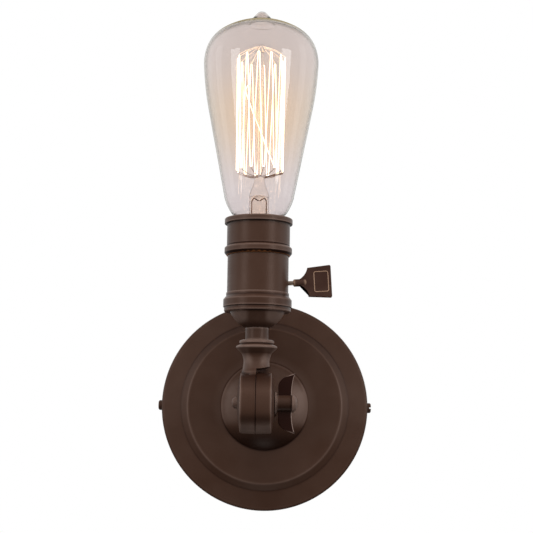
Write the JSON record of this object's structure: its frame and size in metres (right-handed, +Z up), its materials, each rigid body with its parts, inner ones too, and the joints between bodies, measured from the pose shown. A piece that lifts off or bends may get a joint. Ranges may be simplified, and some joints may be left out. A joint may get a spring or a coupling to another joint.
{
  "type": "swivel wall sconce",
  "caption": "Wall light with a stepped round plate, a swivel knuckle locked by a wing nut, a keyed socket and a clear tapered filament bulb.",
  "frame": {"origin": "centre of the wall plate, on the wall plane", "axes": "+Z up, -Y out of the wall, +X to the right of a person who faces the wall"},
  "size_m": [0.1242, 0.0923, 0.2807],
  "materials": {
    "bronze_paint": "satin dark bronze paint",
    "key_bronze": "satin dark brown enamel with a lighter raised line",
    "zinc_steel": "zinc plated",
    "green_enamel": "green dyed zinc",
    "raw_brass": "plain",
    "fibre_board": "matt vulcanised fibre",
    "black_phenolic": "moulded, semi-matt",
    "clear_glass": "clear, blown",
    "black_glass": "fused black glass",
    "solder": "soldered",
    "support_wire": "drawn",
    "lit_strand": "drawn wire, shown lit"
  },
  "bodies": {
    "wall_mount": {"backplate": "bronze_paint", "mounting_strap": "zinc_steel", "side_screws": "bronze_paint", "ground_screw": "green_enamel", "arm_nipple": "zinc_steel", "nipple_lockwasher": "zinc_steel", "nipple_locknut": "zinc_steel", "wall_arm": "bronze_paint"},
    "head": {"head_knuckle": "bronze_paint", "pivot_bolt": "bronze_paint", "stem_coupling": "bronze_paint", "head_nipple": "zinc_steel", "socket_cap": "bronze_paint", "cap_locknut": "zinc_steel", "socket_shell": "bronze_paint", "shade_ring": "bronze_paint", "insulating_liner": "fibre_board", "switch_block": "black_phenolic", "terminal_screws": "raw_brass", "screw_shell": "raw_brass", "centre_contact": "raw_brass", "switch_leaf": "raw_brass"},
    "nut_washer": {"nut_washer": "bronze_paint"},
    "wing_nut": {"wing_nut": "bronze_paint"},
    "key": {"key_shaft": "raw_brass", "key_paddle": "key_bronze", "switch_rotor": "black_phenolic"},
    "bulb_foot": {"bulb_base_contact": "solder", "bulb_base_insulator": "black_glass"},
    "bulb": {"bulb_glass": "clear_glass", "bulb_screw_base": "raw_brass", "bulb_stem": "clear_glass", "bulb_supports": "support_wire", "bulb_lead_wires": "support_wire", "bulb_filament": "lit_strand"}
  },
  "joints": [
    {"name": "head_tilt", "type": "hinge", "parent": "wall_mount", "child": "head", "pos_m": [-0.00425, -0.06, 0], "axis": [1, 0, 0], "range_deg": [-8, 188]},
    {"name": "nut_travel", "type": "slide", "parent": "head", "child": "nut_washer", "axis": [1, 0, 0], "range_m": [0, 0.00716]},
    {"name": "wing_nut_turn", "type": "hinge", "parent": "nut_washer", "child": "wing_nut", "pos_m": [-0.00425, -0.06, 0], "axis": [1, 0, 0], "range_deg": [0, 3240]},
    {"name": "key_turn", "type": "hinge", "parent": "head", "child": "key", "pos_m": [-0.00425, -0.06, 0.06474], "axis": [0.998, 0, 0.0628], "continuous": true},
    {"name": "bulb_lift", "type": "slide", "parent": "head", "child": "bulb_foot", "axis": [0, 0, 1], "range_m": [0, 0.0219]},
    {"name": "bulb_turn", "type": "hinge", "parent": "bulb_foot", "child": "bulb", "pos_m": [-0.00425, -0.06, 0.15], "axis": [0, 0, 1], "range_deg": [0, 2160]}
  ],
  "couplings": [
    {"joint": "nut_travel", "follows": "wing_nut_turn", "m_per_rad": 0.00012637},
    {"joint": "bulb_lift", "follows": "bulb_turn", "m_per_rad": 0.00057757}
  ]
}
